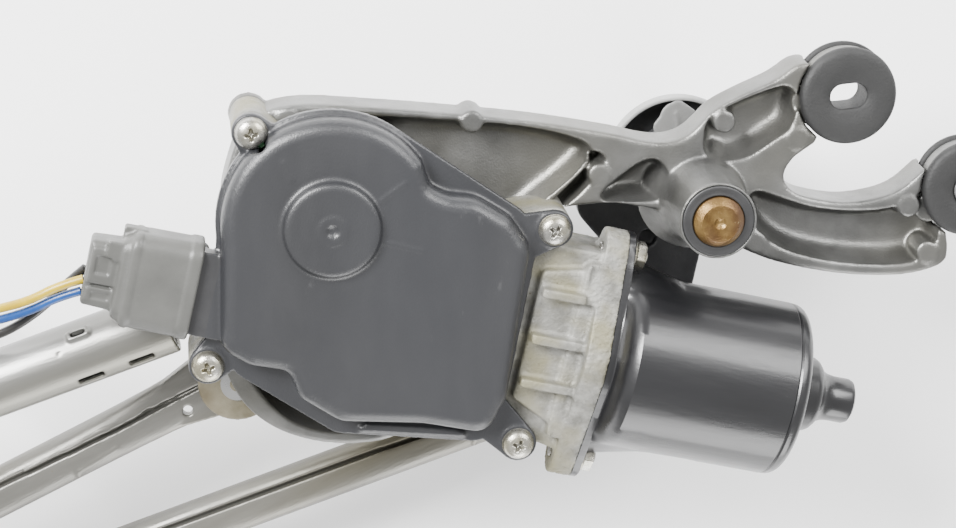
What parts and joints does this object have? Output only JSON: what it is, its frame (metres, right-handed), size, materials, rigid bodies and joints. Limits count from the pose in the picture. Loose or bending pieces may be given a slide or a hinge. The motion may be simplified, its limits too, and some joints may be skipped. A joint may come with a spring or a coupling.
{
  "type": "windshield wiper drive module",
  "caption": "Motor-driven windshield wiper module: geared motor on a die-cast bracket, frame tube, crank and link rods turning two wiper pivots together.",
  "frame": {"origin": "centre of the right-hand fixing ear, on the axis of its sleeve", "axes": "+Z along the fixing bolts and every pivot axis, away from the windscreen; +X roughly along the vehicle's width from the far pivot to the motor side; +Y towards the upper fixing ear"},
  "size_m": [0.603, 0.3093, 0.1213],
  "materials": {
    "cast_alloy": "die-cast, slightly rough",
    "gear_alloy": "die-cast, corroded",
    "tube_steel": "zinc-plated tube",
    "link_steel": "zinc-plated sheet",
    "ground_steel": "machined steel",
    "zinc_screw": "zinc-plated",
    "chromated_shaft": "yellow chromate",
    "black_paint": "gloss black",
    "lever_paint": "satin black",
    "cover_plastic": "satin dark grey",
    "plug_plastic": "satin mid grey",
    "inner_plastic": "moulded",
    "board": "solder resist",
    "nylon": "greasy acetal",
    "grey_plastic": "moulded",
    "rubber_black": "matt",
    "cap_plastic": "satin",
    "bronze": "sintered",
    "copper": "copper",
    "core_steel": "laminated steel",
    "ferrite": "ferrite magnet",
    "carbon": "carbon",
    "wire_yellow": "insulation",
    "wire_blue": "insulation",
    "wire_black": "insulation"
  },
  "bodies": {
    "frame": {"main_bracket": "cast_alloy", "frame_tube": "tube_steel", "far_pivot_housing": "cast_alloy", "upper_grommet": "rubber_black", "right_grommet": "rubber_black", "right_sleeve": "ground_steel", "far_grommet": "rubber_black", "far_sleeve": "ground_steel", "gear_case": "gear_alloy", "cover_gasket": "rubber_black", "gear_cover": "cover_plastic", "cover_screws": "zinc_screw", "bracket_screws": "zinc_screw", "yoke_bolts": "zinc_screw", "yoke": "black_paint", "field_magnets": "ferrite", "brush_holder": "inner_plastic", "carbon_brushes": "carbon", "brush_springs": "copper", "rear_bearing": "bronze", "front_bearing": "bronze", "shaft_thrust_pad": "nylon", "output_bush": "bronze", "circuit_board": "board", "contact_blades": "copper", "connector_plug": "plug_plastic", "near_pivot_bushes": "bronze", "far_pivot_bushes": "bronze", "near_seal_ring": "cap_plastic", "far_seal_ring": "cap_plastic", "near_stop_plate": "grey_plastic", "far_stop_plate": "grey_plastic", "wire_yellow": "wire_yellow", "wire_blue": "wire_blue", "wire_black": "wire_black"},
    "armature": {"armature_shaft": "ground_steel", "armature_core": "core_steel", "armature_windings": "copper", "commutator": "copper"},
    "crank": {"worm_wheel": "nylon", "output_shaft": "ground_steel", "crank_arm": "lever_paint", "crank_nut": "zinc_screw", "crank_ball_stud": "ground_steel"},
    "near_pivot": {"near_pivot_shaft": "chromated_shaft", "near_splash_cap": "cap_plastic", "near_lever": "lever_paint", "near_ball_stud": "ground_steel"},
    "far_pivot": {"far_pivot_shaft": "chromated_shaft", "far_splash_cap": "cap_plastic", "far_lever": "lever_paint", "far_drive_stud": "ground_steel", "far_coupling_stud": "ground_steel"},
    "drive_link": {"drive_link_tube": "link_steel", "drive_link_crank_socket": "nylon", "drive_link_far_socket": "nylon"},
    "coupling_link": {"coupling_link_tube": "link_steel", "coupling_link_near_socket": "nylon", "coupling_link_far_socket": "nylon"}
  },
  "joints": [
    {"name": "armature_turn", "type": "hinge", "parent": "frame", "child": "armature", "pos_m": [-0.22893, -0.0386, 0.01], "axis": [-0.9806, 0.1959, 0], "range_deg": [0, 2856]},
    {"name": "crank_turn", "type": "hinge", "parent": "frame", "child": "crank", "pos_m": [-0.2229, -0.0084, -0.0145], "axis": [0, 0, 1], "range_deg": [0, 56]},
    {"name": "near_pivot_turn", "type": "hinge", "parent": "frame", "child": "near_pivot", "pos_m": [-0.0942, -0.0046, -0.03], "axis": [0, 0, 1], "range_deg": [0, 56]},
    {"name": "far_pivot_turn", "type": "hinge", "parent": "frame", "child": "far_pivot", "pos_m": [-0.5234, -0.1702, -0.03], "axis": [0, 0, 1], "range_deg": [0, 56]},
    {"name": "drive_link_turn", "type": "hinge", "parent": "crank", "child": "drive_link", "pos_m": [-0.25233, -0.07608, -0.0255], "axis": [0, 0, 1], "range_deg": [-56, 0]},
    {"name": "coupling_link_turn", "type": "hinge", "parent": "far_pivot", "child": "coupling_link", "pos_m": [-0.53368, -0.24621, -0.0475], "axis": [0, 0, 1], "range_deg": [-56, 0]}
  ],
  "couplings": [
    {"joint": "crank_turn", "follows": "armature_turn", "ratio": 0.019608},
    {"joint": "near_pivot_turn", "follows": "armature_turn", "ratio": 0.019608},
    {"joint": "far_pivot_turn", "follows": "armature_turn", "ratio": 0.019608},
    {"joint": "drive_link_turn", "follows": "armature_turn", "ratio": -0.019608},
    {"joint": "coupling_link_turn", "follows": "armature_turn", "ratio": -0.019608}
  ]
}
